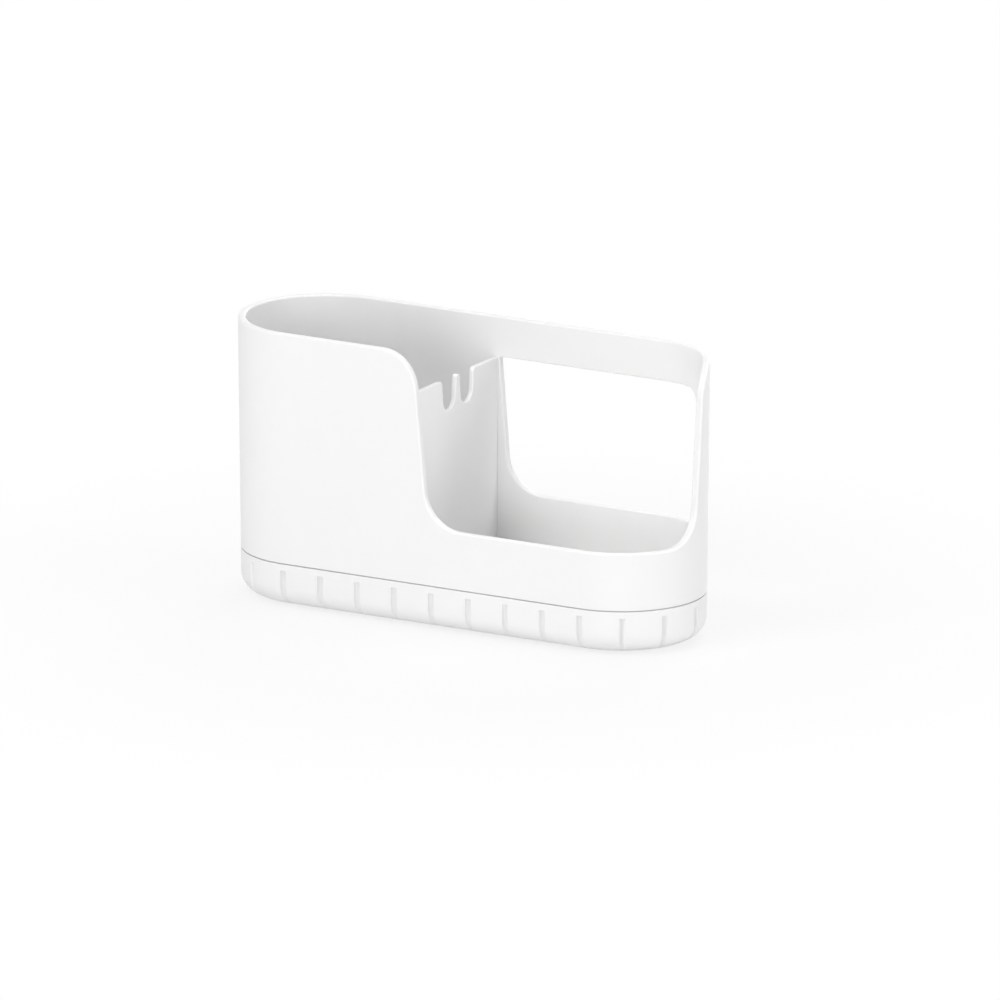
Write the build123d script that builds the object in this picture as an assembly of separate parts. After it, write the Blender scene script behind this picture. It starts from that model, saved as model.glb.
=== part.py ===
from build123d import *
import os
from math import radians, sqrt, tan

# Kitchen sink caddy: a tall obround sleeve with a wrapped front cut-out and a rear window, a lift-out drain
# grid and divider inside it, and a fluted drip tray on four rubber feet under it.
# Millimetres. +X runs along the length, -Y is the front, +Z is up. The origin is the middle of the floor face.
# Heights above the parting line, where the sleeve sits on the tray, are named "rise".

# Overall form
overall_length = 240.0      # at the parting line
overall_width = 80.0        # at the parting line; the ends are half circles of this width
draft_angle = 0.6           # degrees, how far every outer wall leans outward as it rises
overrun = 2.0               # how far a cutter runs past the face that it opens

# Drip tray
tray_height = 21.2          # underside to parting line
tray_wall = 2.6
tray_floor = 2.4
tray_bottom_round = 9.5
parting_gap = 0.5           # height of the dark line between sleeve and tray
parting_depth = 0.8         # how far that line runs in
parting_round = 0.3

# Flutes round the tray's lower edge
flute_width = 3.0
flute_depth = 1.0
flute_drop = 3.6            # parting line down to the top of a flute
flute_run_out = 0.25        # how far a flute's floor dips through the underside where it ends
flute_gaps_on_side = 8
flute_gaps_on_end = 6

# Rubber feet
foot_radius = 7.0
foot_thickness = 2.0
foot_proud = 1.0
foot_bevel = 0.5
foot_recess_clearance = 0.2
foot_inset = 19.5           # from the tray's centre line to a foot's centre

# Sleeve
sleeve_height = 111.5       # parting line to rim
sleeve_wall = 3.6
rim_round = 0.9
skirt_depth = 7.0           # how far the skirt reaches down inside the tray
skirt_wall = 2.4
skirt_clearance = 0.4
skirt_round = 0.8

# Front cut-out, which wraps round the right-hand end
low_edge_rise = 27.5
opening_slant = 5.0         # degrees, its two ends lean apart as they rise
opening_round = 19.0
opening_past_divider = 6.5  # divider face to the cut-out's left end, at the low edge
opening_short_of_middle = 1.4   # right-hand end of the low edge, in front of the end wall's middle

# Rear window
window_band = 19.5          # wall left between the window and the rim
window_past_end_centre = 23.0
window_round = 6.5
window_corner_round = 1.0   # top left corner, beside the divider

# Divider
divider_offset = 9.4        # its middle plane, left of the caddy's middle
divider_thickness = 2.4
divider_clearance = 0.3     # to the sleeve's walls at each end
divider_edge_round = 0.5
tongue_inset = 16.0         # how far the plate's tongue stays inside the skirt
tongue_round = 1.5
notch_width = 12.7
notch_depth = 15.5
notch_spacing = 16.4
notch_shoulder_round = 2.0
notch_pillar_round = 1.2

# Drain grid
grid_thickness = 2.5
grid_clearance = 0.35
grid_margin = 5.0           # solid border outside the slots
slot_width = 3.2
slot_pitch = 12.0
slot_reach = 28.0           # from the middle line to a full slot's end
slot_least_length = 8.0
socket_rise = 3.0           # how far the divider's socket stands above the plate
socket_drop = 4.0           # and how far it hangs below
socket_wall = 1.6
socket_clearance = 0.15     # each side of the divider
socket_lead_in = 0.6
tongue_clearance = 0.4      # at the ends and foot of the divider's tongue

# Worked out from the sizes above
end_radius = overall_width / 2
end_x = (overall_length - overall_width) / 2
parting_z = foot_proud + tray_height
rim_z = parting_z + sleeve_height
low_edge_z = parting_z + low_edge_rise
window_top_z = rim_z - window_band
draft_rate = tan(radians(draft_angle))
slant_rate = tan(radians(opening_slant))
inner_radius = end_radius - sleeve_wall
tray_inner_radius = end_radius - tray_wall
skirt_radius = tray_inner_radius - skirt_clearance
skirt_inner_radius = skirt_radius - skirt_wall
grid_radius = inner_radius - grid_clearance
grid_top_z = parting_z + grid_thickness
tongue_half = skirt_inner_radius - tongue_inset
tongue_z = parting_z - socket_drop + tongue_clearance
socket_half = divider_thickness / 2 + socket_clearance
divider_x = -divider_offset
opening_left_x = divider_x + divider_thickness / 2 + opening_past_divider
cutter_seam_x = end_x / 2
cutter_top_z = rim_z + sleeve_height


def leaning(radius, z):
    """A wall's radius at height z, where it has the given radius at the parting line."""
    return radius + (z - parting_z) * draft_rate


def obround(half_section):
    """Carry a half section, drawn with r across and z up, round the obround plan."""
    turned = revolve(Plane.YZ * half_section, Axis.Z, 180)
    right_end = Pos(end_x, 0, 0) * Rot(0, 0, 180) * turned
    left_end = Pos(-end_x, 0, 0) * turned
    other_half = mirror(half_section, Plane.YZ)
    straight = extrude(Plane.YZ * (half_section + other_half), amount=end_x, both=True)
    return right_end + straight + left_end


def eased(face, corner, radius):
    """The drawn face with its corner nearest to a point rounded."""
    nearest = face.vertices().sort_by_distance((*corner, 0))[0]
    return fillet(nearest, radius)


def crisp_edges(part, above_z):
    """Edges above a height where two faces meet at a clear angle."""
    least_turn = 30
    faces = part.faces()
    found = []
    for edge in part.edges():
        middle = edge @ 0.5
        beside = [face for face in faces if edge in face.edges()]
        if middle.Z < above_z or len(beside) != 2:
            continue
        turn = beside[0].normal_at(middle).get_angle(beside[1].normal_at(middle))
        if turn > least_turn:
            found.append(edge)
    return found


# Sleeve: drafted obround tube, cut-out, window and skirt


def sleeve_section():
    """Half section of the uncut sleeve, which runs past the rim so that the cutters trim it all round."""
    top_z = rim_z + overrun
    seat_z = parting_z - parting_gap
    skirt_z = seat_z - skirt_depth
    outline = Polyline(
        (end_radius, parting_z),
        (leaning(end_radius, top_z), top_z),
        (leaning(inner_radius, top_z), top_z),
        (inner_radius, parting_z),
        (skirt_inner_radius, parting_z),
        (skirt_inner_radius, skirt_z),
        (skirt_radius, skirt_z),
        (skirt_radius, seat_z),
        (end_radius - parting_depth, seat_z),
        (end_radius - parting_depth, parting_z),
        (end_radius, parting_z),
    )
    section = make_face(outline)
    section = eased(section, (skirt_radius, skirt_z), skirt_round)
    section = eased(section, (skirt_inner_radius, skirt_z), skirt_round)
    return eased(section, (end_radius, parting_z), parting_round)


def front_cutter():
    """Trims the rim over the front wall and opens the cut-out in it, as far as the seam between the cutters."""
    rim_x = opening_left_x - (rim_z - low_edge_z) * slant_rate
    face = make_face(Polyline(
        (-overall_length, rim_z),
        (rim_x, rim_z),
        (opening_left_x, low_edge_z),
        (cutter_seam_x, low_edge_z),
        (cutter_seam_x, cutter_top_z),
        (-overall_length, cutter_top_z),
        close=True,
    ))
    face = eased(face, (rim_x, rim_z), opening_round)
    face = eased(face, (opening_left_x, low_edge_z), opening_round)
    return extrude(Plane.XZ * face, amount=overall_width)


def end_cutter():
    """Carries the cut-out on from the seam, round the right-hand end, and brings it up to the rim behind."""
    low_y = -opening_short_of_middle
    rim_y = low_y + (rim_z - low_edge_z) * slant_rate
    face = make_face(Polyline(
        (-overall_width, low_edge_z),
        (low_y, low_edge_z),
        (rim_y, rim_z),
        (overall_width, rim_z),
        (overall_width, cutter_top_z),
        (-overall_width, cutter_top_z),
        close=True,
    ))
    face = eased(face, (rim_y, rim_z), opening_round)
    face = eased(face, (low_y, low_edge_z), opening_round)
    return Pos(cutter_seam_x, 0, 0) * extrude(Plane.YZ * face, amount=overall_length)


def back_cutter():
    """Trims the rim over the back wall."""
    block = Box(overall_length, overall_width, cutter_top_z - rim_z, align=(Align.MAX, Align.MIN, Align.MIN))
    return Pos(cutter_seam_x, 0, rim_z) * block


def window_cutter():
    """Prism that opens the rear window, from the divider round onto the right-hand end."""
    left_top_x = opening_left_x - (window_top_z - low_edge_z) * slant_rate
    right_x = end_x + window_past_end_centre
    outline = Polyline(
        (opening_left_x, low_edge_z),
        (right_x, low_edge_z),
        (right_x, window_top_z),
        (left_top_x, window_top_z),
        close=True,
    )
    face = eased(make_face(outline), (opening_left_x, low_edge_z), opening_round)
    face = eased(face, (left_top_x, window_top_z), window_corner_round)
    face = eased(face, (right_x, low_edge_z), window_round)
    face = eased(face, (right_x, window_top_z), window_round)
    return extrude(Plane.XZ * face, amount=-overall_width)


def sleeve():
    """The outer casing, with its rounded rim, cut-out and window edges."""
    body = obround(sleeve_section())
    for cutter in (front_cutter(), end_cutter(), back_cutter(), window_cutter()):
        body -= cutter
    return fillet(crisp_edges(body, low_edge_z - sleeve_wall), rim_round)


# Drip tray: shallow basin with flutes that run round its lower edge


def tray_outline(inset=0):
    """Points of the tray's outside, from the parting gap down and in to the middle, moved in by an inset."""
    seat_z = parting_z - parting_gap
    return [
        (leaning(end_radius, seat_z) - inset, seat_z),
        (leaning(end_radius, foot_proud) - inset, foot_proud),
        (0, foot_proud),
    ]


def tray_section():
    """Half section of the tray: floor, rounded lower edge, leaning wall and flat seat for the sleeve."""
    outside = tray_outline()
    seat_z = parting_z - parting_gap
    basin_z = foot_proud + tray_floor
    basin_corner = (leaning(tray_inner_radius, basin_z), basin_z)
    outline = Polyline(
        *outside,
        (0, basin_z),
        basin_corner,
        (leaning(tray_inner_radius, seat_z), seat_z),
        close=True,
    )
    section = eased(make_face(outline), outside[1], tray_bottom_round)
    section = eased(section, basin_corner, tray_bottom_round - tray_wall)
    return eased(section, outside[0], parting_round)


def flute_cutter():
    """One flute: a round bar that follows the tray's outside at the flute's depth and runs out at the underside."""
    bar_radius = ((flute_width / 2) ** 2 + flute_depth ** 2) / (2 * flute_depth)
    top_z = parting_z - flute_drop
    low_z = foot_proud - flute_run_out - bar_radius
    path = FilletPolyline(
        (0, leaning(end_radius, top_z) + bar_radius - flute_depth, top_z),
        (0, leaning(end_radius, low_z) + bar_radius - flute_depth, low_z),
        (0, end_radius - tray_bottom_round - flute_depth - overrun, low_z),
        radius=tray_bottom_round + bar_radius,
    )
    return sweep(Plane(origin=path @ 0, z_dir=path % 0) * Circle(bar_radius), path=path)


def flute_places():
    """Where the flutes stand: even steps along both sides and even turns round both ends."""
    places = []
    pitch = 2 * end_x / flute_gaps_on_side
    for step in range(flute_gaps_on_side + 1):
        x = -end_x + step * pitch
        places.append(Pos(x, 0, 0))
        places.append(Pos(x, 0, 0) * Rot(0, 0, 180))
    for step in range(1, flute_gaps_on_end):
        turn = step * 180 / flute_gaps_on_end
        places.append(Pos(-end_x, 0, 0) * Rot(0, 0, turn))
        places.append(Pos(end_x, 0, 0) * Rot(0, 0, -turn))
    return places


def foot_places():
    """Name and centre of each foot."""
    places = {}
    for side, x in (("left", -end_x), ("right", end_x)):
        places["foot_front_" + side] = Pos(x, -foot_inset, 0)
        places["foot_rear_" + side] = Pos(x, foot_inset, 0)
    return places


def drip_tray():
    """The fluted base, with a round recess for each foot."""
    body = obround(tray_section())
    cutter = flute_cutter()
    body -= [place * cutter for place in flute_places()]
    recess = Pos(0, 0, foot_thickness / 2) * Cylinder(foot_radius + foot_recess_clearance, foot_thickness)
    return body - [place * recess for place in foot_places().values()]


def foot():
    """A soft disc, half sunk in its recess."""
    disc = Pos(0, 0, foot_thickness / 2) * Cylinder(foot_radius, foot_thickness)
    return chamfer(disc.edges().sort_by(Axis.Z)[0], foot_bevel)


# Divider: flat plate between the sleeve's walls, with two notches for hanging tools


def divider_outline():
    """Plate as seen from the side: ends that follow the leaning walls, and a tongue for the grid's socket."""
    shoulder_half = leaning(inner_radius, grid_top_z) - divider_clearance
    top_half = leaning(inner_radius, window_top_z) - divider_clearance
    plate = make_face(Polyline(
        (-shoulder_half, grid_top_z),
        (-tongue_half, grid_top_z),
        (-tongue_half, tongue_z),
        (tongue_half, tongue_z),
        (tongue_half, grid_top_z),
        (shoulder_half, grid_top_z),
        (top_half, window_top_z),
        (-top_half, window_top_z),
        close=True,
    ))
    notch_radius = notch_width / 2
    turn_z = window_top_z - notch_depth + notch_radius
    for side in (-1, 1):
        middle_y = side * notch_spacing / 2
        plate -= Pos(middle_y, turn_z) * Circle(notch_radius)
        plate -= Pos(middle_y, (turn_z + window_top_z) / 2) * Rectangle(notch_width, window_top_z - turn_z)
    for side in (-1, 1):
        middle_y = side * notch_spacing / 2
        plate = eased(plate, (middle_y + side * notch_radius, window_top_z), notch_shoulder_round)
        plate = eased(plate, (middle_y - side * notch_radius, window_top_z), notch_pillar_round)
        plate = eased(plate, (side * tongue_half, tongue_z), tongue_round)
    return plate


def divider():
    """The divider plate, with its upper outline eased on both faces."""
    plate = Pos(divider_x, 0, 0) * extrude(Plane.YZ * divider_outline(), amount=divider_thickness / 2, both=True)
    least_z = window_top_z - notch_depth - divider_edge_round
    broad_faces = plate.faces().filter_by(Axis.X)
    upper = [edge for edge in broad_faces.edges() if (edge @ 0.5).Z > least_z]
    return fillet(upper, divider_edge_round)


# Drain grid: slotted floor that drops onto the sleeve's ledge and carries the divider in a socket


def slot_cutters():
    """Drain slots across the plate; those over the round ends get shorter with it."""
    slotted_radius = grid_radius - grid_margin
    columns = int((end_x + grid_radius) / slot_pitch)
    cutters = []
    for column in range(-columns, columns + 1):
        x = column * slot_pitch
        past_end = max(abs(x) + slot_width / 2 - end_x, 0)
        clear_of_socket = abs(x - divider_x) > socket_half + socket_wall + slot_width
        if past_end >= slotted_radius or not clear_of_socket:
            continue
        length = 2 * min(slot_reach, sqrt(slotted_radius ** 2 - past_end ** 2))
        if length > slot_least_length:
            hole = extrude(SlotOverall(length, slot_width, rotation=90), amount=grid_thickness + overrun, both=True)
            cutters.append(Pos(x, 0, parting_z) * hole)
    return cutters


def socket_frame():
    """Walls that hang below the plate right round the tongue, and stand above it on both faces of the divider."""
    wall_x = socket_half + socket_wall
    wall_y = tongue_half + tongue_clearance + socket_wall
    low_z = parting_z - socket_drop
    top_z = grid_top_z + socket_rise
    hanging = extrude(Rectangle(2 * wall_x, 2 * wall_y), amount=socket_drop)
    standing_section = make_face(Polyline(
        (socket_half, parting_z),
        (wall_x, parting_z),
        (wall_x, top_z),
        (socket_half + socket_lead_in, top_z),
        (socket_half, top_z - socket_lead_in),
        close=True,
    ))
    standing = extrude(Plane.XZ * standing_section, amount=tongue_half, both=True)
    return Pos(0, 0, low_z) * hanging + standing + mirror(standing, Plane.YZ)


def socket_hole():
    """The room for the divider's tongue, open below so that it drains."""
    low_z = parting_z - socket_drop - overrun
    hole = Rectangle(2 * socket_half, 2 * (tongue_half + tongue_clearance))
    return Pos(0, 0, low_z) * extrude(hole, amount=grid_top_z + socket_rise + overrun - low_z)


def drain_grid():
    """The slotted plate with the divider's socket."""
    outline = SlotCenterToCenter(2 * end_x, 2 * grid_radius)
    plate = Pos(0, 0, parting_z) * extrude(outline, amount=grid_thickness)
    plate -= slot_cutters()
    plate += Pos(divider_x, 0, 0) * socket_frame()
    return plate - Pos(divider_x, 0, 0) * socket_hole()


def all_pieces():
    """Every piece at rest, by name."""
    pieces = {
        "caddy_sleeve": sleeve(),
        "drip_tray": drip_tray(),
        "drain_grid": drain_grid(),
        "divider": divider(),
    }
    shape = foot()
    for name, place in foot_places().items():
        pieces[name] = place * shape
    return pieces


os.makedirs("parts", exist_ok=True)
for name, piece in all_pieces().items():
    piece.label = name
    export_step(piece, os.path.join("parts", name + ".step"))
    print(name, round(piece.volume, 1), "mm3")
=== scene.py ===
"""Kitchen sink caddy in white moulded plastic, dressed over its fixed frame.

Lengths are in metres. +X runs along the caddy towards its low, cut-out end, -Y is the front and +Z is up.
The sleeve and the feet keep their solids and get finishes. The fluted tray and the drain grid's plate are
made by geometry nodes, and the divider and its socket as meshes. These stand for the other solids.
"""

from __future__ import annotations

import logging
import math
from dataclasses import dataclass
from enum import Enum
from functools import reduce
from types import SimpleNamespace
from typing import Union

import bmesh
import bpy
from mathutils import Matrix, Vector


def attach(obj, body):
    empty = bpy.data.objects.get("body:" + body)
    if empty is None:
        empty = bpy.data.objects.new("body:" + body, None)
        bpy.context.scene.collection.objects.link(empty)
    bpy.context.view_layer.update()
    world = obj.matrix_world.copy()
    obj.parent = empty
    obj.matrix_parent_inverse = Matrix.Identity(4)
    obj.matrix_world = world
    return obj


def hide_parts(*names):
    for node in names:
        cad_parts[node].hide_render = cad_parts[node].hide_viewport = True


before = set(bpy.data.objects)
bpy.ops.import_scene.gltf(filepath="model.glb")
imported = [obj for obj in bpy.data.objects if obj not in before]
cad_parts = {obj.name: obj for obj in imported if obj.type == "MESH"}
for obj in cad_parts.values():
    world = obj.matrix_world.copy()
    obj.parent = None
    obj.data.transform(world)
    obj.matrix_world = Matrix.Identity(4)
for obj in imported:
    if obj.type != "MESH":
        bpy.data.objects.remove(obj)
log = logging.getLogger("caddy")

MM = 0.001
WELD = 0.002 * MM
CREASE = math.radians(40)
ROUND_STEPS = 3
NORMAL_WEIGHT = 60
SATIN_WHITE = (0.88, 0.88, 0.877)
FULL_WHITE = (1.0, 1.0, 1.0, 1.0)
FLUTE_SHARE = "flute_share"
Piece = bpy.types.Object
Material = bpy.types.Material
Socket = bpy.types.NodeSocket
Value = Union[Socket, float, int, bool]
Feeds = dict[Union[str, int], object]
Loop = list[bmesh.types.BMVert]
Sizes = SimpleNamespace


class Body(Enum):
    """Bodies that the made pieces ride on."""

    TRAY = "tray"
    GRID = "grid"
    DIVIDER = "divider"


class Eased(Enum):
    """Which edges of a piece are rounded."""

    CRISP = "ANGLE"
    WEIGHTED = "WEIGHT"


# Small helpers for node trees


class Wiring:
    """Adds nodes to a tree and links them, so that a formula reads as calls."""

    node_spacing = 200

    def __init__(self, tree: bpy.types.NodeTree) -> None:
        """Start on a node tree."""
        self.tree = tree
        self.count = 0

    def add(self, kind: str, feeds: Feeds | None = None, **settings: object) -> bpy.types.Node:
        """Add one node.

        Args:
            kind: The node's type.
            feeds: What goes into its inputs, by name or by number.
            settings: The node's own properties.

        Returns:
            The new node.
        """
        node = self.tree.nodes.new(kind)
        node.location = (self.node_spacing * self.count, 0)
        self.count += 1
        for name, value in settings.items():
            setattr(node, name, value)
        for key, value in (feeds or {}).items():
            self.feed(node.inputs[key], value)
        return node

    def out(self, kind: str, feeds: Feeds | None = None, **settings: object) -> Socket:
        """The first output of a new node."""
        return self.add(kind, feeds, **settings).outputs[0]

    def feed(self, target: Socket, value: object) -> None:
        """Fill an input.

        Args:
            target: The input.
            value: A socket to link to it, or a plain value.
        """
        if isinstance(value, bpy.types.NodeSocket):
            self.tree.links.new(value, target)
        else:
            target.default_value = value

    def math(self, operation: str, *terms: Value) -> Socket:
        """One step of arithmetic on one to three terms."""
        return self.out("ShaderNodeMath", dict(enumerate(terms)), operation=operation)

    def total(self, *terms: Value) -> Socket:
        """The sum of two or more terms."""
        return reduce(lambda result, term: self.math("ADD", result, term), terms)

    def product(self, *terms: Value) -> Socket:
        """The product of two or more terms."""
        return reduce(lambda result, term: self.math("MULTIPLY", result, term), terms)

    def less(self, first: Value, second: Value) -> Socket:
        """The first term less the second."""
        return self.math("SUBTRACT", first, second)

    def point(self, x: Value = 0.0, y: Value = 0.0, z: Value = 0.0) -> Socket:
        """A vector from three terms."""
        return self.out("ShaderNodeCombineXYZ", {0: x, 1: y, 2: z})

    def parts(self, vector: Socket) -> tuple[Socket, Socket, Socket]:
        """The three terms of a vector."""
        outputs = self.add("ShaderNodeSeparateXYZ", {0: vector}).outputs
        return outputs[0], outputs[1], outputs[2]

    def eased_step(self, value: Value, start: Value, end: Value) -> Socket:
        """A smooth step from 0 to 1 as the value goes from start to end."""
        feeds = {"Value": value, "From Min": start, "From Max": end}
        return self.out("ShaderNodeMapRange", feeds, interpolation_type="SMOOTHSTEP")

    def ramp(self, value: Value, start: Value, end: Value, low: Value, high: Value) -> Socket:
        """A straight, clamped run from low to high as the value goes from start to end."""
        feeds = {"Value": value, "From Min": start, "From Max": end, "To Min": low, "To Max": high}
        return self.out("ShaderNodeMapRange", feeds, interpolation_type="LINEAR")

    def pick(self, index: Value, items: tuple[object, ...], data_type: str) -> Socket:
        """The item with an index.

        Args:
            index: Which item.
            items: Sockets or plain values.
            data_type: VECTOR, FLOAT or INT.

        Returns:
            The picked item.
        """
        node = self.add("GeometryNodeIndexSwitch", data_type=data_type)
        while len(node.index_switch_items) < len(items):
            node.index_switch_items.new()
        self.feed(node.inputs[0], index)
        for number, item in enumerate(items):
            self.feed(node.inputs[number + 1], item)
        return node.outputs[0]

    def place(self) -> Socket:
        """Where each point stands."""
        return self.out("GeometryNodeInputPosition")

    def moved(self, geometry: Socket, **targets: Socket) -> Socket:
        """Geometry with its points moved to a Position or by an Offset."""
        return self.out("GeometryNodeSetPosition", {"Geometry": geometry, **targets})

    def joined(self, *parts: Socket) -> Socket:
        """Several geometries as one.

        Args:
            parts: The geometries.

        Returns:
            The joined geometry.
        """
        join = self.add("GeometryNodeJoinGeometry")
        for part in parts:
            self.feed(join.inputs[0], part)
        return join.outputs[0]

    def welded(self, geometry: Socket) -> Socket:
        """A mesh whose coinciding points are merged."""
        return self.out("GeometryNodeMergeByDistance", {"Geometry": geometry, "Distance": WELD})


class SizedTree:
    """A geometry node tree with named inputs, which is run once and leaves a plain mesh."""

    kinds = {float: "NodeSocketFloat", int: "NodeSocketInt", Material: "NodeSocketMaterial"}

    def __init__(self, name: str) -> None:
        """Make the empty tree.

        Args:
            name: The tree's name.
        """
        self.tree = bpy.data.node_groups.new(name, "GeometryNodeTree")
        self.tree.is_modifier = True
        self.wiring = Wiring(self.tree)
        self.values: dict[str, object] = {}
        self.entry = self.wiring.add("NodeGroupInput")
        self.tree.interface.new_socket("Geometry", in_out="OUTPUT", socket_type="NodeSocketGeometry")

    def declare(self, name: str, value: Union[float, int, Material]) -> Socket:
        """Add one named input.

        Args:
            name: The input's name.
            value: What the modifier gives it.

        Returns:
            The socket on the tree's input node.
        """
        kind = self.kinds[type(value)]
        entry = self.tree.interface.new_socket(name, in_out="INPUT", socket_type=kind)
        self.values[entry.identifier] = value
        return self.entry.outputs[name]

    def sizes(self, piece: object, *fields: str) -> Sizes:
        """Add a piece's sizes as named inputs.

        Args:
            piece: The dataclass that holds the sizes.
            fields: The names of the sizes that the tree needs.

        Returns:
            The sockets on the tree's input node, under the same names.
        """
        sockets = {}
        for field in fields:
            sockets[field] = self.declare(field.replace("_", " ").title(), getattr(piece, field))
        return Sizes(**sockets)

    def close(self, geometry: Socket, material: Socket) -> None:
        """End the tree in Realize Instances and Set Material.

        Args:
            geometry: The finished geometry.
            material: Its material.
        """
        realized = self.wiring.out("GeometryNodeRealizeInstances", {"Geometry": geometry})
        feeds = {"Geometry": realized, "Material": material}
        dressed = self.wiring.out("GeometryNodeSetMaterial", feeds)
        self.wiring.feed(self.wiring.add("NodeGroupOutput").inputs[0], dressed)

    def mesh(self, name: str) -> Piece:
        """Run the tree once and keep its result.

        Args:
            name: The new object's name.

        Returns:
            An object with a plain mesh and no modifier.
        """
        holder = new_object(name, bpy.data.meshes.new(name + "_seed"))
        modifier = holder.modifiers.new(self.tree.name, "NODES")
        modifier.node_group = self.tree
        for identifier, value in self.values.items():
            modifier[identifier] = value
        depsgraph = bpy.context.evaluated_depsgraph_get()
        result = bpy.data.meshes.new_from_object(holder.evaluated_get(depsgraph))
        holder.modifiers.remove(modifier)
        seed = holder.data
        holder.data = result
        holder.data.name = name
        bpy.data.meshes.remove(seed)
        return holder


# Effects that the finishes share


class SharedEffects:
    """Shader node groups, each built once."""

    seam_fade = 1.6
    film_dulling = 0.04

    def __init__(self) -> None:
        """Build the groups."""
        self.grain = self.moulded_grain()
        self.wear_and_seam_shade = self.handling_marks_and_seam_shade()

    @staticmethod
    def open_group(name: str, inputs: dict[str, float], *outputs: str) -> bpy.types.NodeTree:
        """Make a group with its sockets.

        Args:
            name: The group's name.
            inputs: Each number that goes in, with its usual value.
            outputs: Each number that comes out.

        Returns:
            The group's tree.
        """
        tree = bpy.data.node_groups.new(name, "ShaderNodeTree")
        for title, value in inputs.items():
            entry = tree.interface.new_socket(title, in_out="INPUT", socket_type="NodeSocketFloat")
            entry.default_value = value
        for title in outputs:
            tree.interface.new_socket(title, in_out="OUTPUT", socket_type="NodeSocketFloat")
        return tree

    def moulded_grain(self) -> bpy.types.NodeTree:
        """The mould's fine spark grain on long, shallow sink waves, as one height.

        Returns:
            The group.
        """
        inputs = {"Grain Scale": 3200.0, "Grain Share": 0.6, "Wave Scale": 28.0}
        tree = self.open_group("moulded_grain", inputs, "Height")
        w = Wiring(tree)
        entry = w.add("NodeGroupInput").outputs
        place = w.add("ShaderNodeTexCoord").outputs["Object"]
        fine = {"Vector": place, "Scale": entry["Grain Scale"], "Detail": 2.0, "Roughness": 0.5}
        grain = w.out("ShaderNodeTexNoise", fine)
        long = {"Vector": place, "Scale": entry["Wave Scale"], "Detail": 1.0, "Roughness": 0.4}
        wave = w.out("ShaderNodeTexNoise", long)
        share = entry["Grain Share"]
        height = w.total(w.product(grain, share), w.product(wave, w.less(1.0, share)))
        w.feed(w.add("NodeGroupOutput").inputs["Height"], height)
        return tree

    def handling_marks_and_seam_shade(self) -> bpy.types.NodeTree:
        """Where hands and water have left the face glossier or duller, and shade painted along the parting
        line's gap.

        Returns:
            The group.
        """
        face = {"Roughness": 0.35, "Mark Scale": 45.0, "Mark Amount": 0.05}
        dried = {"Dry Film": 0.02, "Film Top": 0.03}
        seam = {"Seam Height": 0.02195, "Seam Reach": 0.0002, "Seam Shade": 0.0}
        tree = self.open_group("handling_marks_and_seam_shade", {**face, **dried, **seam}, "Roughness", "Shade")
        w = Wiring(tree)
        entry = w.add("NodeGroupInput").outputs
        place = w.add("ShaderNodeTexCoord").outputs["Object"]
        feeds = {"Vector": place, "Scale": entry["Mark Scale"], "Detail": 4.0, "Roughness": 0.6}
        noise = w.out("ShaderNodeTexNoise", {**feeds, "Distortion": 0.4})
        cloud = w.less(noise, 0.5)
        height = w.parts(place)[2]
        film = w.product(w.ramp(height, 0.0, entry["Film Top"], 1.0, 0.0), entry["Dry Film"])
        marks = w.product(cloud, entry["Mark Amount"], 2.0)
        rough = w.total(entry["Roughness"], marks, film)
        # Painted shade: the colour darkens in a thin band at the parting line, where its gap falls into
        # shadow.
        from_seam = w.math("ABSOLUTE", w.less(height, entry["Seam Height"]))
        reach = entry["Seam Reach"]
        seam_end = w.product(reach, self.seam_fade)
        painted_shade = w.ramp(from_seam, reach, seam_end, entry["Seam Shade"], 0.0)
        dull = w.product(w.total(w.math("ABSOLUTE", cloud), film), self.film_dulling)
        shade = w.product(w.less(1.0, dull), w.less(1.0, painted_shade))
        leave = w.add("NodeGroupOutput")
        w.feed(leave.inputs["Roughness"], rough)
        w.feed(leave.inputs["Shade"], shade)
        return tree


@dataclass(frozen=True)
class Moulding:
    """A moulded finish: its colour, gloss, grain and traces of use, and shade painted along the parting line
    and into flutes.
    """

    name: str
    colour: tuple[float, float, float]
    roughness: float
    grain_scale: float = 3200.0
    grain_share: float = 0.6
    grain_height: float = 0.02 * MM
    bump: float = 0.25
    mark_amount: float = 0.05
    dry_film: float = 0.02
    seam_shade: float = 0.0
    flute_shade: float = 0.0
    refraction: float = 1.49

    def material(self, effects: SharedEffects) -> Material:
        """Build the material.

        Args:
            effects: The shared groups.

        Returns:
            The material, with its colour, roughness and bump from nodes.
        """
        made = bpy.data.materials.new(self.name)
        made.use_nodes = True
        made.diffuse_color = (*self.colour, 1.0)
        w = Wiring(made.node_tree)
        shader = made.node_tree.nodes["Principled BSDF"]
        shader.inputs["IOR"].default_value = self.refraction
        feeds = {
            "Mark Amount": self.mark_amount,
            "Dry Film": self.dry_film,
            "Roughness": self.roughness,
            "Seam Shade": self.seam_shade,
        }
        marks = w.add("ShaderNodeGroup", feeds, node_tree=effects.wear_and_seam_shade)
        feeds = {"Grain Scale": self.grain_scale, "Grain Share": self.grain_share}
        grain = w.add("ShaderNodeGroup", feeds, node_tree=effects.grain)
        shade = marks.outputs["Shade"]
        # Painted shade in the flutes: the colour darkens with the square of each point's share of the
        # groove's depth.
        if self.flute_shade:
            share = w.add("ShaderNodeAttribute", attribute_name=FLUTE_SHARE).outputs["Fac"]
            painted_shade = w.product(share, share, self.flute_shade)
            shade = w.product(shade, w.less(1.0, painted_shade))
        tint = w.add("ShaderNodeVectorMath", {0: self.colour}, operation="SCALE")
        w.feed(tint.inputs["Scale"], shade)
        feeds = {"Strength": self.bump, "Distance": self.grain_height, "Height": grain.outputs["Height"]}
        bump = w.add("ShaderNodeBump", feeds)
        w.feed(shader.inputs["Base Color"], tint.outputs[0])
        w.feed(shader.inputs["Roughness"], marks.outputs["Roughness"])
        w.feed(shader.inputs["Normal"], bump.outputs[0])
        return made


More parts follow.
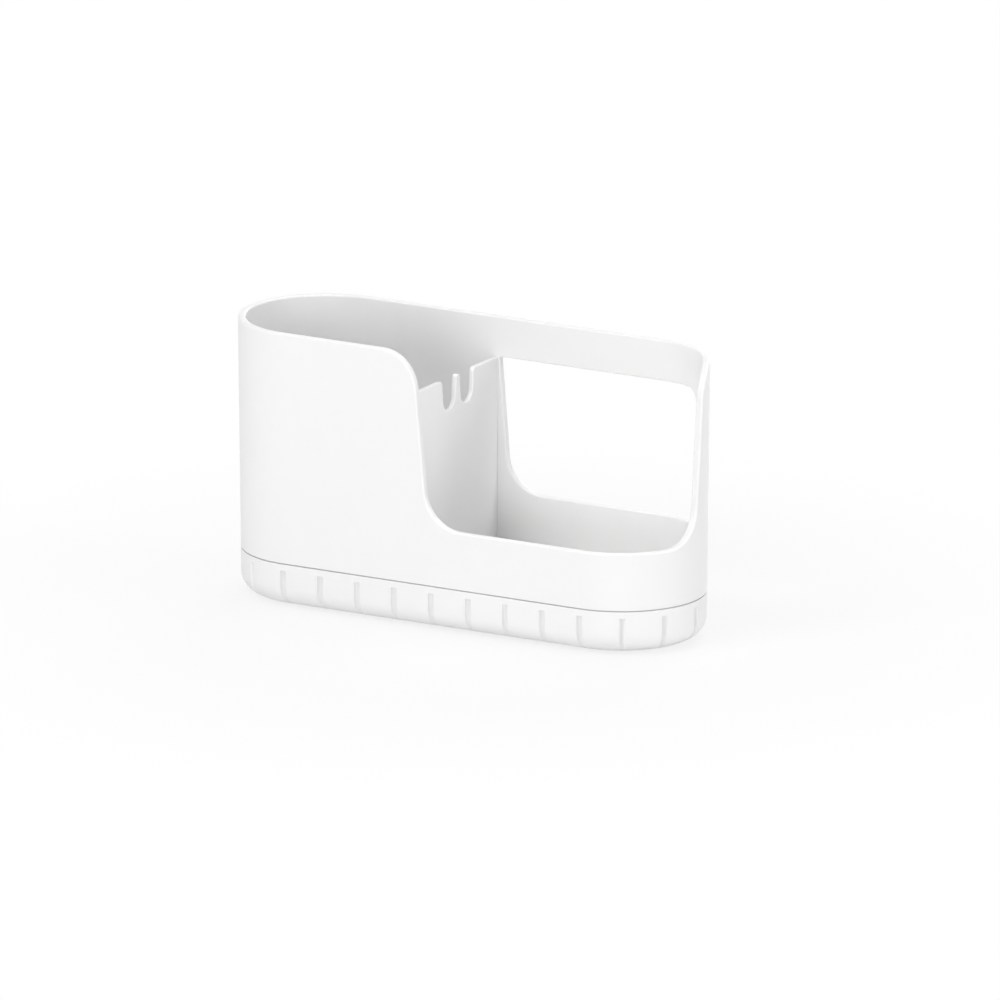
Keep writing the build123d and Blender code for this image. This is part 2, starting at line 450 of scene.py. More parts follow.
@dataclass(frozen=True)
class FinishSet:
    """The caddy's finishes."""

    # seam_shade paints shade along the parting line's gap; flute_shade paints shade into the tray's flutes.
    sleeve: Moulding = Moulding("satin_white_sleeve", SATIN_WHITE, 0.36, seam_shade=0.35)
    tray: Moulding = Moulding(
        "satin_white_tray", SATIN_WHITE, 0.38, dry_film=0.06, seam_shade=0.35, flute_shade=0.12
    )
    divider: Moulding = Moulding("satin_white_divider", SATIN_WHITE, 0.36)
    grid: Moulding = Moulding(
        "matt_white_grid", (0.87, 0.87, 0.866), 0.52, 1800.0, 0.8, bump=0.35, mark_amount=0.08
    )
    foot: Moulding = Moulding(
        "soft_grey_foot", (0.7, 0.7, 0.69), 0.7, 1400.0, 0.85, bump=0.4, mark_amount=0.1
    )


# Small helpers for pieces


def new_object(name: str, data: bpy.types.ID) -> Piece:
    """Put a mesh, a lamp or a camera into the scene.

    Args:
        name: The object's name.
        data: What it shows.

    Returns:
        The object, at the origin.
    """
    made = bpy.data.objects.new(name, data)
    bpy.context.scene.collection.objects.link(made)
    return made


def mesh_object(name: str, mesh: bmesh.types.BMesh, material: Material) -> Piece:
    """Turn a worked mesh into an object, and free it.

    Args:
        name: The object's name.
        mesh: The worked mesh.
        material: Its finish.

    Returns:
        The object.
    """
    data = bpy.data.meshes.new(name)
    mesh.to_mesh(data)
    mesh.free()
    data.materials.append(material)
    return new_object(name, data)


def band(mesh: bmesh.types.BMesh, first: Loop, second: Loop) -> None:
    """Join two loops of points with a band of faces.

    Args:
        mesh: The mesh that gets the faces.
        first: One loop.
        second: The other loop, with as many points.
    """
    for number in range(len(first)):
        after = (number + 1) % len(first)
        mesh.faces.new((first[number], first[after], second[after], second[number]))


def face_outwards(piece: Piece) -> None:
    """Turn a closed mesh's faces outwards.

    Args:
        piece: The piece.
    """
    mesh = bmesh.new()
    mesh.from_mesh(piece.data)
    bmesh.ops.recalc_face_normals(mesh, faces=mesh.faces)
    mesh.to_mesh(piece.data)
    mesh.free()


def round_edges(piece: Piece, radius: float, edges: Eased) -> None:
    """Ease a moulding's edges.

    Args:
        piece: The piece.
        radius: How far in the rounding starts.
        edges: Which edges it takes.
    """
    for face in piece.data.polygons:
        face.use_smooth = True
    modifier = piece.modifiers.new("eased_edges", "BEVEL")
    modifier.width = radius
    modifier.segments = ROUND_STEPS
    modifier.limit_method = edges.value
    modifier.angle_limit = CREASE


def weigh_normals(piece: Piece) -> None:
    """Let the large flat faces lead the shading where small rounds meet them.

    Args:
        piece: The piece.
    """
    modifier = piece.modifiers.new("weighted_normals", "WEIGHTED_NORMAL")
    modifier.keep_sharp = True
    modifier.weight = NORMAL_WEIGHT


def keep_solid(node: str, material: Material) -> Piece:
    """Dress a solid that keeps its own shape.

    Args:
        node: The solid's node.
        material: Its finish.

    Returns:
        The node's object.
    """
    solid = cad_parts[node]
    solid.data.materials.clear()
    solid.data.materials.append(material)
    return solid


def settle(piece: Piece, body: Body, slot: str, *nodes: str) -> Piece:
    """Hand a finished piece over to its body.

    Args:
        piece: The piece, in place.
        body: The body that it rides on.
        slot: Not used.
        nodes: The solids that it stands for.

    Returns:
        The piece.
    """
    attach(piece, body.value)
    if nodes:
        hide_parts(*nodes)
    return piece


# The caddy's sub-assemblies


@dataclass
class FlutedTray:
    """The drip tray: an obround basin whose flutes run down its wall and round its lower edge.

    The rows, edge_share and fade_share are shares of the flutes' softness. The slacks keep rounding errors
    from putting a column in the wrong gap or half.
    """

    half_straight: float = 80.0 * MM
    end_radius: float = 40.0 * MM
    parting_height: float = 22.2 * MM
    draft: float = math.radians(0.6)
    wall: float = 2.6 * MM
    floor: float = 2.4 * MM
    foot_proud: float = 1.0 * MM
    bottom_round: float = 9.5 * MM
    seat_gap: float = 0.5 * MM
    lip_round: float = 0.3 * MM
    inner_lip_share: float = 0.7
    flute_width: float = 3.0 * MM
    flute_depth: float = 1.2 * MM
    flute_drop: float = 3.6 * MM
    flute_run_out: float = 0.25 * MM
    flute_softness: float = 0.2 * MM
    flute_top_rows: tuple[float, ...] = (1.6, 1.1, 0.8, 0.5, 0.2, -0.1)
    edge_share: float = 0.6
    fade_share: float = 0.5
    side_gaps: int = 8
    end_gaps: int = 6
    columns_in_gap: int = 34
    dense_share: float = 0.7
    dense_width: float = 2.2 * MM
    bottom_steps: int = 18
    lip_steps: int = 4
    inner_lip_steps: int = 3
    basin_steps: int = 9
    gap_slack: float = 1e-4
    half_slack: float = 1e-5

    def section(self, w: Wiring, size: Sizes) -> Socket:
        """Draw the section: from the middle of the underside, round the wall and the lip, into the basin.

        Args:
            w: The tree's wiring.
            size: The tree's sizes.

        Returns:
            The section as a curve in X and Z, with its corners rounded.
        """
        lean = w.math("TANGENT", size.draft)
        flute_top = w.less(size.parting_height, size.flute_drop)

        def wall_point(reach: Value, height: Value) -> Socket:
            """A corner on a leaning wall."""
            leaned = w.product(w.less(height, size.parting_height), lean)
            return w.point(w.total(reach, leaned), 0.0, height)

        def flute_row(share: float) -> Socket:
            """A corner on the outer wall, as many softnesses below the flutes' top."""
            return wall_point(size.end_radius, w.less(flute_top, w.product(size.flute_softness, share)))

        seat = w.less(size.parting_height, size.seat_gap)
        basin = w.total(size.foot_proud, size.floor)
        inner = w.less(size.end_radius, size.wall)
        inner_lip = w.product(size.lip_round, self.inner_lip_share)
        corners = [
            (w.point(0.0, 0.0, size.foot_proud), 0.0, 1),
            (wall_point(size.end_radius, size.foot_proud), size.bottom_round, self.bottom_steps),
            *[(flute_row(share), 0.0, 1) for share in self.flute_top_rows],
            (wall_point(size.end_radius, seat), size.lip_round, self.lip_steps),
            (wall_point(inner, seat), inner_lip, self.inner_lip_steps),
            (wall_point(inner, basin), w.less(size.bottom_round, size.wall), self.basin_steps),
            (w.point(0.0, 0.0, basin), 0.0, 1),
        ]
        places, radii, counts = zip(*corners)
        index = w.out("GeometryNodeInputIndex")
        line = w.out("GeometryNodeMeshLine", {"Count": len(corners)})
        bent = w.moved(line, Position=w.pick(index, places, "VECTOR"))
        curve = w.out("GeometryNodeMeshToCurve", {"Mesh": bent})
        steps, bends = w.pick(index, counts, "INT"), w.pick(index, radii, "FLOAT")
        feeds = {"Curve": curve, "Count": steps, "Radius": bends}
        return w.out("GeometryNodeFilletCurve", feeds, mode="POLY")

    def outline_place(self, w: Wiring, size: Sizes, column: Socket) -> Sizes:
        """Find a column's place round the outline. The columns crowd together beside each flute.

        Args:
            w: The tree's wiring.
            size: The tree's sizes.
            column: The column's number.

        Returns:
            pitch and step, a gap's length on the side and angle on the end; from_flute, the share of a gap
            to the nearest flute; on_end, 1 on an end and 0 on a side; middle, the X that the column turns
            round; turn, its angle there; and half, 1 or -1 for the outline's two halves.
        """
        gaps = w.total(size.side_gaps, size.end_gaps)
        gap_place = w.math("DIVIDE", column, size.columns_in_gap)
        gap_number = w.math("FLOOR", w.total(gap_place, self.gap_slack))
        fraction = w.less(gap_place, gap_number)
        column_share = w.product(w.math("MINIMUM", fraction, w.less(1.0, fraction)), 2.0)
        pitch = w.math("DIVIDE", w.product(size.half_straight, 2.0), size.side_gaps)
        dense_end = w.math("DIVIDE", size.dense_width, pitch)
        near = w.ramp(column_share, 0.0, size.dense_share, 0.0, dense_end)
        far = w.ramp(column_share, size.dense_share, 1.0, 0.0, w.less(0.5, dense_end))
        from_flute = w.total(near, far)
        past_middle = w.math("GREATER_THAN", fraction, 0.5)
        eased = w.math("ABSOLUTE", w.less(past_middle, from_flute))
        half_place = w.math("MODULO", w.total(gap_number, eased), gaps)
        halves = w.math("DIVIDE", w.total(gap_number, eased, self.half_slack), gaps)
        second_half = w.math("MODULO", w.math("FLOOR", halves), 2.0)
        side_place = w.math("MINIMUM", half_place, size.side_gaps)
        end_place = w.math("MAXIMUM", w.less(half_place, size.side_gaps), 0.0)
        step = w.math("DIVIDE", math.pi, size.end_gaps)
        return Sizes(
            pitch=pitch,
            step=step,
            from_flute=from_flute,
            on_end=w.math("GREATER_THAN", half_place, size.side_gaps),
            middle=w.less(w.product(pitch, side_place), size.half_straight),
            turn=w.less(w.product(step, end_place), math.pi / 2),
            half=w.less(1.0, w.product(second_half, 2.0)),
        )

    def groove(
        self, w: Wiring, size: Sizes, place: Sizes, spot: tuple[Socket, ...], normal: tuple[Socket, ...]
    ) -> Socket:
        """Find how far a point sinks. A flute is a round bar's groove, which runs out towards the underside.

        Args:
            w: The tree's wiring.
            size: The tree's sizes.
            place: The column's place round the outline.
            spot: The point's reach and height.
            normal: The section's normal there, outwards and upwards.

        Returns:
            The depth below the plain skin.
        """
        reach, height = spot
        normal_out, normal_up = normal
        width, depth, softness = size.flute_width, size.flute_depth, size.flute_softness
        across_end = w.product(reach, w.math("SINE", w.product(place.step, place.from_flute)))
        across_side = w.product(place.pitch, place.from_flute)
        on_side = w.less(1.0, place.on_end)
        aside = w.total(w.product(across_end, place.on_end), w.product(across_side, on_side))
        squares = w.total(w.product(width, width, 0.25), w.product(depth, depth))
        bar = w.math("DIVIDE", squares, w.product(depth, 2.0))
        run_out = w.product(size.flute_run_out, w.math("MINIMUM", normal_up, 0.0))
        fading = w.total(w.product(depth, normal_out), run_out)
        flute_top = w.less(size.parting_height, size.flute_drop)
        below_top = w.eased_step(w.less(flute_top, height), 0.0, softness)
        deep = w.product(w.math("MAXIMUM", fading, 0.0), below_top)
        chord = w.math("MAXIMUM", w.less(w.product(bar, bar), w.product(aside, aside)), 0.0)
        sharp = w.less(w.math("SQRT", chord), w.less(bar, deep))
        rounded = w.math("SMOOTH_MAX", sharp, 0.0, w.product(softness, self.edge_share))
        return w.product(rounded, w.eased_step(deep, 0.0, w.product(softness, self.fade_share)))

    def tree(self, material: Material) -> SizedTree:
        """The rule for the tray's skin: a lattice with a column for each step round the outline and a row
        for each point of the section, sunk along the flutes.

        Args:
            material: The tray's finish.

        Returns:
            The tree, ready to run.
        """
        sized = SizedTree("fluted_tray")
        w = sized.wiring
        outer = ("half_straight", "end_radius", "parting_height", "draft", "wall", "floor", "foot_proud")
        rounds = ("bottom_round", "seat_gap", "lip_round")
        flutes = ("flute_width", "flute_depth", "flute_drop", "flute_run_out", "flute_softness")
        steps = ("side_gaps", "end_gaps", "columns_in_gap", "dense_share", "dense_width")
        size = sized.sizes(self, *outer, *rounds, *flutes, *steps)
        finish = sized.declare("Finish", material)
        section = self.section(w, size)
        points = w.add("GeometryNodeAttributeDomainSize", {"Geometry": section}, component="CURVE")
        rows = points.outputs["Point Count"]
        gaps = w.total(size.side_gaps, size.end_gaps)
        columns = w.total(w.product(gaps, size.columns_in_gap, 2), 1)
        lattice = w.out("GeometryNodeMeshGrid", {"Vertices X": columns, "Vertices Y": rows})
        index = w.out("GeometryNodeInputIndex")
        column = w.math("FLOOR", w.math("DIVIDE", w.total(index, 0.5), rows))
        row = w.less(index, w.product(column, rows))

        def sampled(value: Socket) -> tuple[Socket, Socket, Socket]:
            """A vector of the section at this row."""
            feeds = {"Geometry": section, "Value": value, "Index": row}
            return w.parts(w.out("GeometryNodeSampleIndex", feeds, data_type="FLOAT_VECTOR"))

        reach, _, height = sampled(w.place())
        along_out, _, along_up = sampled(w.out("GeometryNodeInputTangent"))
        normal_out, normal_up = along_up, w.math("MULTIPLY", along_out, -1.0)
        place = self.outline_place(w, size, column)
        sunk = self.groove(w, size, place, (reach, height), (normal_out, normal_up))
        final_reach = w.less(reach, w.product(sunk, normal_out))
        final_height = w.less(height, w.product(sunk, normal_up))
        outwards = w.product(final_reach, w.math("COSINE", place.turn))
        x = w.product(w.total(place.middle, outwards), place.half)
        y = w.product(final_reach, w.math("SINE", place.turn), place.half)
        # Each point's share of the flute's depth, kept so that the tray's finish can paint shade into the
        # flutes.
        share = w.math("DIVIDE", sunk, size.flute_depth)
        feeds = {"Geometry": lattice, "Name": FLUTE_SHARE, "Value": share}
        marked = w.out("GeometryNodeStoreNamedAttribute", feeds, data_type="FLOAT", domain="POINT")
        closed = w.welded(w.moved(marked, Position=w.point(x, y, final_height)))
        smooth = w.out("GeometryNodeSetShadeSmooth", {"Geometry": closed})
        sized.close(smooth, finish)
        return sized

    def build(self, finishes: FinishSet, effects: SharedEffects) -> list[Piece]:
        """Make the tray and dress its feet.

        Args:
            finishes: The caddy's finishes.
            effects: The shared shader groups.

        Returns:
            The tray and the four feet.
        """
        tray = self.tree(finishes.tray.material(effects)).mesh("tray_shell")
        face_outwards(tray)
        weigh_normals(tray)
        settle(tray, Body.TRAY, "tray_plastic", "drip_tray")
        rubber = finishes.foot.material(effects)
        places = [f"{end}_{side}" for end in ("front", "rear") for side in ("left", "right")]
        return [tray, *[keep_solid(f"foot_{place}", rubber) for place in places]]


@dataclass
class Sleeve:
    """The outer casing, which keeps its solid."""

    node: str = "caddy_sleeve"

    def build(self, finishes: FinishSet, effects: SharedEffects) -> list[Piece]:
        """Dress the sleeve."""
        return [keep_solid(self.node, finishes.sleeve.material(effects))]


@dataclass
class Divider:
    """The notched plate: its ends follow the leaning walls, and its notches lean in to round bottoms."""

    middle: float = -9.4 * MM
    thickness: float = 2.4 * MM
    wall_radius: float = 36.4 * MM
    wall_gap: float = 0.1 * MM
    parting_height: float = 22.2 * MM
    draft: float = math.radians(0.6)
    top: float = 114.2 * MM
    foot: float = 24.7 * MM
    tongue_half: float = 18.6 * MM
    tongue_foot: float = 18.6 * MM
    tongue_round: float = 1.5 * MM
    notch_width: float = 13.0 * MM
    notch_lean: float = math.radians(5.0)
    notch_depth: float = 15.4 * MM
    notch_spacing: float = 16.2 * MM
    shoulder_round: float = 2.0 * MM
    pillar_round: float = 1.2 * MM
    edge_round: float = 0.5 * MM
    arc_steps: int = 14

    def half_width(self, height: float) -> float:
        """Half the plate's width between the leaning walls, at a height."""
        return self.wall_radius - self.wall_gap + (height - self.parting_height) * math.tan(self.draft)

    def notch_corners(self, middle: float, towards: int) -> list[tuple[Vector, float]]:
        """One notch as three corners: its shoulder, the point where its sides would meet, and its pillar.

        Args:
            middle: The notch's middle.
            towards: 1 where the shoulder has the higher Y, -1 where it has the lower.

        Returns:
            The corners with their radii, from the higher Y to the lower.
        """
        half, lean = self.notch_width / 2, self.notch_lean
        turn_depth = (self.notch_depth - half * math.cos(lean)) / (1 - math.sin(lean))
        corners = [
            (Vector((middle + towards * half, self.top)), self.shoulder_round),
            (Vector((middle, self.top - half / math.tan(lean))), self.notch_depth - turn_depth),
            (Vector((middle - towards * half, self.top)), self.pillar_round),
        ]
        return corners[::towards]

    def outline(self) -> list[Vector]:
        """The plate as seen from the side.

        Returns:
            Points in Y and Z, once round.
        """
        foot, top = self.half_width(self.foot), self.half_width(self.top)
        corners = [
            (Vector((-foot, self.foot)), 0.0),
            (Vector((-self.tongue_half, self.foot)), 0.0),
            (Vector((-self.tongue_half, self.tongue_foot)), self.tongue_round),
            (Vector((self.tongue_half, self.tongue_foot)), self.tongue_round),
            (Vector((self.tongue_half, self.foot)), 0.0),
            (Vector((foot, self.foot)), 0.0),
            (Vector((top, self.top)), 0.0),
            *self.notch_corners(self.notch_spacing / 2, 1),
            *self.notch_corners(-self.notch_spacing / 2, -1),
            (Vector((-top, self.top)), 0.0),
        ]
        points = []
        for number, (corner, radius) in enumerate(corners):
            before = (corners[number - 1][0] - corner).normalized()
            after = (corners[(number + 1) % len(corners)][0] - corner).normalized()
            points += self.rounded(corner, before, after, radius)
        return points

    def rounded(self, corner: Vector, before: Vector, after: Vector, radius: float) -> list[Vector]:
        """A corner's arc.

        Args:
            corner: The corner.
            before: The direction back along the line that arrives.
            after: The direction of the line that leaves.
            radius: The arc's radius, or 0 for a sharp corner.

        Returns:
            The arc's points, or the corner alone.
        """
        if not radius:
            return [corner]
        opening = before.angle(after)
        middle = corner + (before + after).normalized() * (radius / math.sin(opening / 2))
        start = corner + before * (radius / math.tan(opening / 2)) - middle
        turn = start.angle_signed(corner + after * (radius / math.tan(opening / 2)) - middle)
        points = []
        for step in range(self.arc_steps + 1):
            angle = -turn * step / self.arc_steps
            cosine, sine = math.cos(angle), math.sin(angle)
            turned = Vector((start.x * cosine - start.y * sine, start.x * sine + start.y * cosine))
            points.append(middle + turned)
        return points

    def build(self, finishes: FinishSet, effects: SharedEffects) -> list[Piece]:
        """Make the divider, with its upper outline eased on both faces.

        Args:
            finishes: The caddy's finishes.
            effects: The shared shader groups.

        Returns:
            The divider.
        """
        mesh = bmesh.new()
        outline = self.outline()
        sides = []
        for side in (-1, 1):
            x = self.middle + side * self.thickness / 2
            sides.append([mesh.verts.new((x, point.x, point.y)) for point in outline])
        band(mesh, *sides)
        eased_above = self.top - self.notch_depth - self.edge_round
        weights = mesh.edges.layers.float.new("bevel_weight_edge")
        for side in sides:
            for edge in mesh.faces.new(side).edges:
                edge[weights] = float(sum(vert.co.z for vert in edge.verts) / 2 > eased_above)
        bmesh.ops.recalc_face_normals(mesh, faces=mesh.faces)
        mesh.normal_update()
        for edge in mesh.edges:
            edge.smooth = edge[weights] > 0.0 or edge.calc_face_angle() < CREASE
        plate = mesh_object("divider_plate", mesh, finishes.divider.material(effects))
        round_edges(plate, self.edge_round, Eased.WEIGHTED)
        weigh_normals(plate)
        return [settle(plate, Body.DIVIDER, "divider_plastic", "divider")]


@dataclass
class DrainGrid:
    """The slotted floor and the socket that holds the divider upright."""

    half_straight: float = 80.0 * MM
    plate_radius: float = 36.05 * MM
    plate_bottom: float = 22.2 * MM
    thickness: float = 2.5 * MM
    margin: float = 5.0 * MM
    rim_steps: int = 98
    slot_width: float = 3.2 * MM
    slot_pitch: float = 12.0 * MM
    slot_reach: float = 28.0 * MM
    slot_least_length: float = 8.0 * MM
    slot_steps: int = 26
    edge_round: float = 0.35 * MM
    socket_middle: float = -9.4 * MM
    socket_half: float = 1.35 * MM
    socket_wall: float = 1.6 * MM
    socket_hole_half: float = 19.0 * MM
    socket_rail_half: float = 18.6 * MM
    socket_rise: float = 3.0 * MM
    socket_drop: float = 4.0 * MM
    socket_lead_in: float = 0.6 * MM
    socket_sunk: float = 0.05 * MM

    def slots(self, w: Wiring, size: Sizes) -> Socket:
        """Draw the slots, apart from those under the socket and those too short at the ends.

        Args:
            w: The tree's wiring.
            size: The tree's sizes.

        Returns:
            The slots' outlines: circles pulled apart along Y.
        """
        slot_round = w.product(size.slot_width, 0.5)

        def slot_half(x: Socket) -> Socket:
            """Half a slot's length.

            Args:
                x: Where the slot's middle stands.

            Returns:
                The half length, shorter where the plate's round end leaves less room.
            """
            far_side = w.total(w.math("ABSOLUTE", x), slot_round)
            past_end = w.math("MAXIMUM", w.less(far_side, size.half_straight), 0.0)
            slotted = w.less(size.plate_radius, size.margin)
            inside = w.less(w.product(slotted, slotted), w.product(past_end, past_end))
            return w.math("MINIMUM", size.slot_reach, w.math("SQRT", w.math("MAXIMUM", inside, 0.0)))

        half_length = w.total(size.half_straight, size.plate_radius)
        columns = w.math("FLOOR", w.math("DIVIDE", half_length, size.slot_pitch))
        feeds = {
            "Count": w.total(w.product(columns, 2.0), 1.0),
            "Start Location": w.point(w.product(columns, size.slot_pitch, -1.0)),
            "Offset": w.point(size.slot_pitch),
        }
        line = w.out("GeometryNodeMeshLine", feeds)
        x = w.parts(w.place())[0]
        long_enough = w.math("GREATER_THAN", w.product(slot_half(x), 2.0), size.slot_least_length)
        from_socket = w.math("ABSOLUTE", w.less(x, size.socket_middle))
        socket_reach = w.total(size.socket_half, size.socket_wall, size.slot_width)
        clear = w.math("GREATER_THAN", from_socket, socket_reach)
        feeds = {"Resolution": self.slot_steps, "Radius": slot_round}
        hole = w.out("GeometryNodeCurvePrimitiveCircle", feeds)
        feeds = {"Points": line, "Selection": w.product(long_enough, clear), "Instance": hole}
        holes = w.out("GeometryNodeInstanceOnPoints", feeds)
        loose = w.out("GeometryNodeRealizeInstances", {"Geometry": holes})
        x, y, _ = w.parts(w.place())
        slot_x = w.product(w.math("ROUND", w.math("DIVIDE", x, size.slot_pitch)), size.slot_pitch)
        stretch = w.product(w.math("SIGN", y), w.less(slot_half(slot_x), slot_round))
        return w.moved(loose, Offset=w.point(0.0, stretch))

    def plate_tree(self, material: Material) -> SizedTree:
        """The rule for the plate: an obround with a row of slots that shorten with its round ends.

        Args:
            material: The grid's finish.

        Returns:
            The tree, ready to run.
        """
        sized = SizedTree("slotted_plate")
        w = sized.wiring
        plate = ("half_straight", "plate_radius", "plate_bottom", "thickness", "margin")
        slots = ("slot_width", "slot_pitch", "slot_reach", "slot_least_length")
        socket = ("socket_middle", "socket_half", "socket_wall", "socket_hole_half")
        size = sized.sizes(self, *plate, *slots, *socket)
        finish = sized.declare("Finish", material)
        feeds = {"Resolution": self.rim_steps, "Radius": size.plate_radius}
        circle = w.out("GeometryNodeCurvePrimitiveCircle", feeds)
        towards_end = w.math("SIGN", w.parts(w.place())[0])
        rim = w.moved(circle, Offset=w.point(w.product(towards_end, size.half_straight)))
        feeds = {"Width": w.product(size.socket_half, 2.0), "Height": w.product(size.socket_hole_half, 2.0)}
        hole = w.out("GeometryNodeCurvePrimitiveQuadrilateral", feeds)
        hole = w.moved(hole, Offset=w.point(size.socket_middle))
        outlines = w.joined(rim, self.slots(w, size), hole)
        face = w.out("GeometryNodeFillCurve", {"Curve": outlines}, mode="NGONS")
        low = w.moved(face, Offset=w.point(0.0, 0.0, size.plate_bottom))
        feeds = {"Mesh": low, "Offset": w.point(0.0, 0.0, 1.0), "Offset Scale": size.thickness}
        raised = w.out("GeometryNodeExtrudeMesh", {**feeds, "Individual": False}, mode="FACES")
        under = w.out("GeometryNodeFlipFaces", {"Mesh": low})
        sized.close(w.welded(w.joined(raised, under)), finish)
        return sized

    def socket_frame(self, mesh: bmesh.types.BMesh) -> None:
        """Add the frame that hangs under the plate, round the divider's tongue.

        Args:
            mesh: The socket's mesh.
        """
        inner = (self.socket_half, self.socket_hole_half)
        outer = (inner[0] + self.socket_wall, inner[1] + self.socket_wall)
        low = self.plate_bottom - self.socket_drop
        seat = self.plate_bottom + self.socket_sunk
        corners = [(1, 1), (-1, 1), (-1, -1), (1, -1)]
        loops = []
        for (across, along), height in ((outer, low), (outer, seat), (inner, seat), (inner, low)):
            places = [(self.socket_middle + across * a, along * b, height) for a, b in corners]
            loops.append([mesh.verts.new(place) for place in places])
        for number, loop in enumerate(loops):
            band(mesh, loop, loops[(number + 1) % len(loops)])

    def socket_rails(self, mesh: bmesh.types.BMesh) -> None:
        """Add the rails that stand on the plate, one along each face of the divider.

        Args:
            mesh: The socket's mesh.
        """
        wall_x = self.socket_half + self.socket_wall
        plate_top = self.plate_bottom + self.thickness
        top = plate_top + self.socket_rise
        section = [
            (self.socket_half, plate_top - self.socket_sunk),
            (wall_x, plate_top - self.socket_sunk),
            (wall_x, top),
            (self.socket_half + self.socket_lead_in, top),
            (self.socket_half, top - self.socket_lead_in),
        ]
        for side in (-1, 1):
            ends = []
            for y in (-self.socket_rail_half, self.socket_rail_half):
                ends.append([mesh.verts.new((self.socket_middle + side * x, y, z)) for x, z in section])
            mesh.faces.new(ends[0])
            mesh.faces.new(reversed(ends[1]))
            band(mesh, ends[1], ends[0])

    def build(self, finishes: FinishSet, effects: SharedEffects) -> list[Piece]:
        """Make the plate and its socket.

        Args:
            finishes: The caddy's finishes.
            effects: The shared shader groups.

        Returns:
            The plate and the socket.
        """
        material = finishes.grid.material(effects)
        plate = self.plate_tree(material).mesh("grid_plate")
        face_outwards(plate)
        mesh = bmesh.new()
        self.socket_frame(mesh)
        self.socket_rails(mesh)
        bmesh.ops.recalc_face_normals(mesh, faces=mesh.faces)
        socket = mesh_object("divider_socket", mesh, material)
        for piece in (plate, socket):
            round_edges(piece, self.edge_round, Eased.CRISP)
            weigh_normals(piece)
        settle(plate, Body.GRID, "grid_plastic", "drain_grid")
        settle(socket, Body.GRID, "grid_plastic")
        return [plate, socket]


# Studio


def direction(azimuth: float, elevation: float) -> Vector:
    """The direction from the caddy towards a camera or a lamp.

    Args:
        azimuth: Degrees to the right of the front.
        elevation: Degrees above the floor.

    Returns:
        A vector of length 1.
    """
    turn, rise = math.radians(azimuth), math.radians(elevation)
    return Vector((math.sin(turn) * math.cos(rise), -math.cos(turn) * math.cos(rise), math.sin(rise)))


@dataclass(frozen=True)
class Lamp:
    """A soft square lamp that faces the caddy: its direction in degrees, its metres across and its watts."""

    name: str
    azimuth: float
    elevation: float
    size: float
    power: float
    distance: float = 1.8
    aim_height: float = 60 * MM

    def build(self) -> None:
        """Hang the lamp."""
        data = bpy.data.lights.new(self.name, "AREA")
        data.shape = "SQUARE"
        data.size = self.size
        data.energy = self.power
        lamp = new_object(self.name, data)
        away = direction(self.azimuth, self.elevation)
        lamp.location = away * self.distance + Vector((0.0, 0.0, self.aim_height))
        lamp.rotation_euler = away.to_track_quat("Z", "Y").to_euler()


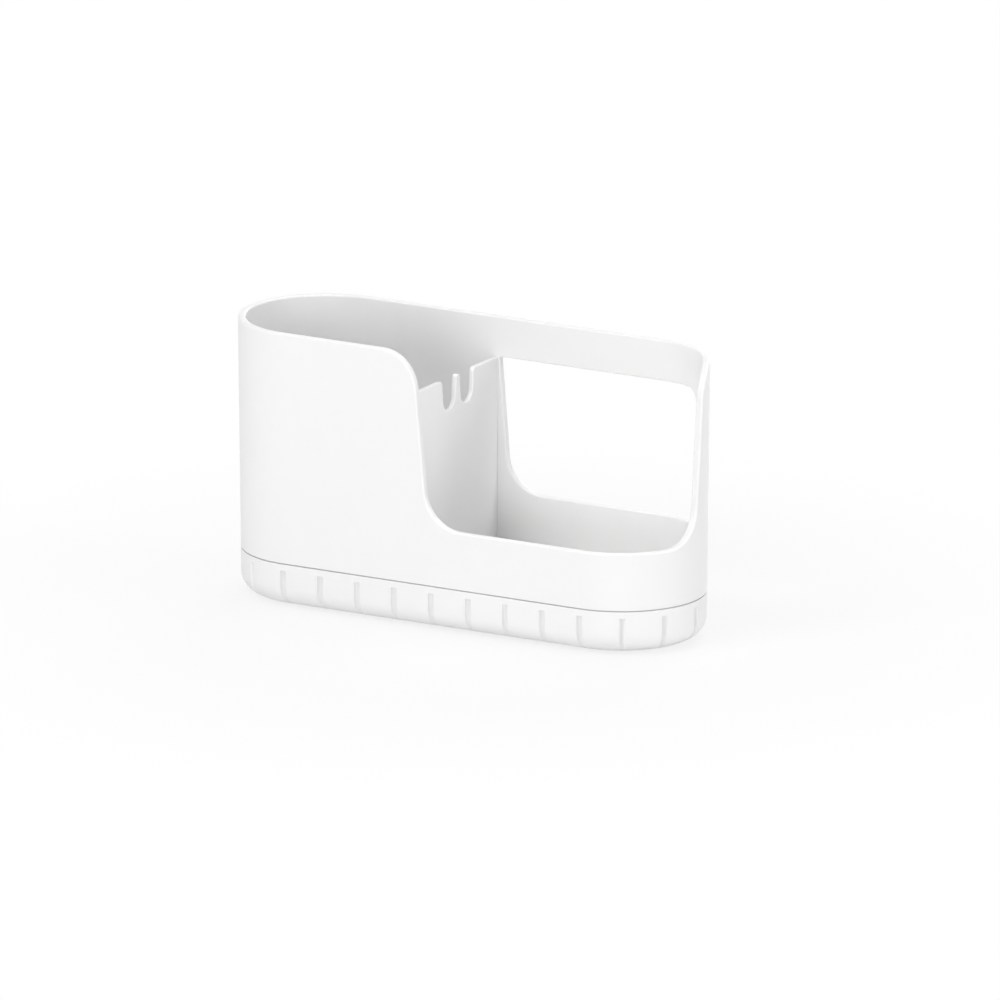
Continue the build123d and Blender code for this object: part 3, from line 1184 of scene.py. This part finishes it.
@dataclass
class Studio:
    """Floor, backdrop, lamps and the camera at the photograph's angle."""

    azimuth: float = 30.0
    elevation: float = 15.0
    frame_width: float = 468.66 * MM
    right_shift: float = 12.47 * MM
    up_shift: float = 52.62 * MM
    lens: float = 1000.0
    sensor: float = 36.0
    nearest: float = 0.1
    farthest: float = 60.0
    floor_size: float = 6.0
    floor_drop: float = 0.05 * MM
    floor_tone: float = 0.85
    floor_roughness: float = 0.9
    shadow_share: float = 0.2
    shadow_near: float = 0.16
    shadow_far: float = 0.32
    sky_strength: float = 0.25
    lamps: tuple[Lamp, ...] = (
        Lamp("front_lamp", 10.0, 6.0, 0.8, 11.2),
        Lamp("left_lamp", -20.0, 45.0, 0.9, 11.0),
        Lamp("right_lamp", 95.0, 15.0, 0.8, 10.5),
        Lamp("top_lamp", 0.0, 89.0, 1.2, 8.1),
        Lamp("back_lamp", 180.0, 60.0, 0.9, 5.8),
        Lamp("rear_lamp", 190.0, 12.0, 0.8, 7.0),
    )

    def camera(self) -> None:
        """Set up the long lens that gives the photograph's nearly parallel view."""
        data = bpy.data.cameras.new("photo_camera")
        data.lens = self.lens
        data.sensor_width = self.sensor
        data.clip_start = self.nearest
        data.clip_end = self.farthest
        camera = new_object("photo_camera", data)
        turn = math.radians(self.azimuth)
        away = direction(self.azimuth, self.elevation)
        right = Vector((math.cos(turn), math.sin(turn), 0.0))
        up = away.cross(right)
        target = right * self.right_shift + up * self.up_shift
        distance = self.frame_width * self.lens / self.sensor
        camera.location = target + away * distance
        camera.rotation_euler = away.to_track_quat("Z", "Y").to_euler()
        bpy.context.scene.camera = camera

    @staticmethod
    def seen_directly(w: Wiring) -> Socket:
        """Tell what the camera sees from plain light.

        Args:
            w: The wiring of a material or the world.

        Returns:
            1 for what the camera sees, straight or in a reflection, and 0 for the rest.
        """
        path = w.add("ShaderNodeLightPath").outputs
        reflected = w.math("MAXIMUM", path["Is Glossy Ray"], path["Is Transmission Ray"])
        return w.math("MAXIMUM", path["Is Camera Ray"], reflected)

    def sky(self) -> None:
        """White where the camera and reflections see it, and plain soft light elsewhere."""
        world = bpy.data.worlds.new("studio_sky")
        world.use_nodes = True
        w = Wiring(world.node_tree)
        backdrop = world.node_tree.nodes["Background"]
        seen = self.seen_directly(w)
        w.feed(backdrop.inputs["Color"], FULL_WHITE)
        w.feed(backdrop.inputs["Strength"], w.ramp(seen, 0.0, 1.0, self.sky_strength, 1.0))
        bpy.context.scene.world = world

    def floor(self) -> None:
        """A pale floor that fades into the white backdrop and keeps the caddy's shadow."""
        mesh = bmesh.new()
        bmesh.ops.create_grid(mesh, x_segments=1, y_segments=1, size=self.floor_size / 2)
        bmesh.ops.translate(mesh, vec=(0.0, 0.0, -self.floor_drop), verts=mesh.verts)
        floor = mesh_object("studio_floor", mesh, self.floor_material())

    def floor_material(self) -> Material:
        """Pale paper that reads as white to the camera, apart from a part of the caddy's shadow near it.

        Returns:
            The material.
        """
        material = bpy.data.materials.new("studio_floor")
        material.use_nodes = True
        w = Wiring(material.node_tree)
        shader = material.node_tree.nodes["Principled BSDF"]
        shader.inputs["Base Color"].default_value = (*[self.floor_tone] * 3, 1.0)
        shader.inputs["Roughness"].default_value = self.floor_roughness
        shader.inputs["Specular IOR Level"].default_value = 0.0
        white = w.out("ShaderNodeEmission", {"Color": FULL_WHITE, "Strength": 1.0})
        place = w.add("ShaderNodeTexCoord").outputs["Object"]
        away = w.add("ShaderNodeVectorMath", {0: place}, operation="LENGTH").outputs["Value"]
        cover = w.ramp(away, self.shadow_near, self.shadow_far, 1.0 - self.shadow_share, 1.0)
        share = w.product(cover, self.seen_directly(w))
        mix = w.add("ShaderNodeMixShader", {0: share, 1: shader.outputs[0], 2: white})
        leave = material.node_tree.nodes["Material Output"]
        w.feed(leave.inputs["Surface"], mix.outputs[0])
        return material

    def build(self) -> None:
        """Set up the camera, the floor and the light."""
        bpy.context.scene.view_settings.view_transform = "Standard"
        self.camera()
        self.sky()
        self.floor()
        for lamp in self.lamps:
            lamp.build()


def main() -> None:
    """Build the studio and each sub-assembly, and report the pieces."""
    logging.basicConfig(level=logging.INFO, format="%(name)s: %(message)s")
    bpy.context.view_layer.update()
    effects = SharedEffects()
    finishes = FinishSet()
    Studio().build()
    for assembly in (FlutedTray(), Sleeve(), DrainGrid(), Divider()):
        for piece in assembly.build(finishes, effects):
            log.info("%s: %s, %d faces", type(assembly).__name__, piece.name, len(piece.data.polygons))


if __name__ == "__main__":
    main()
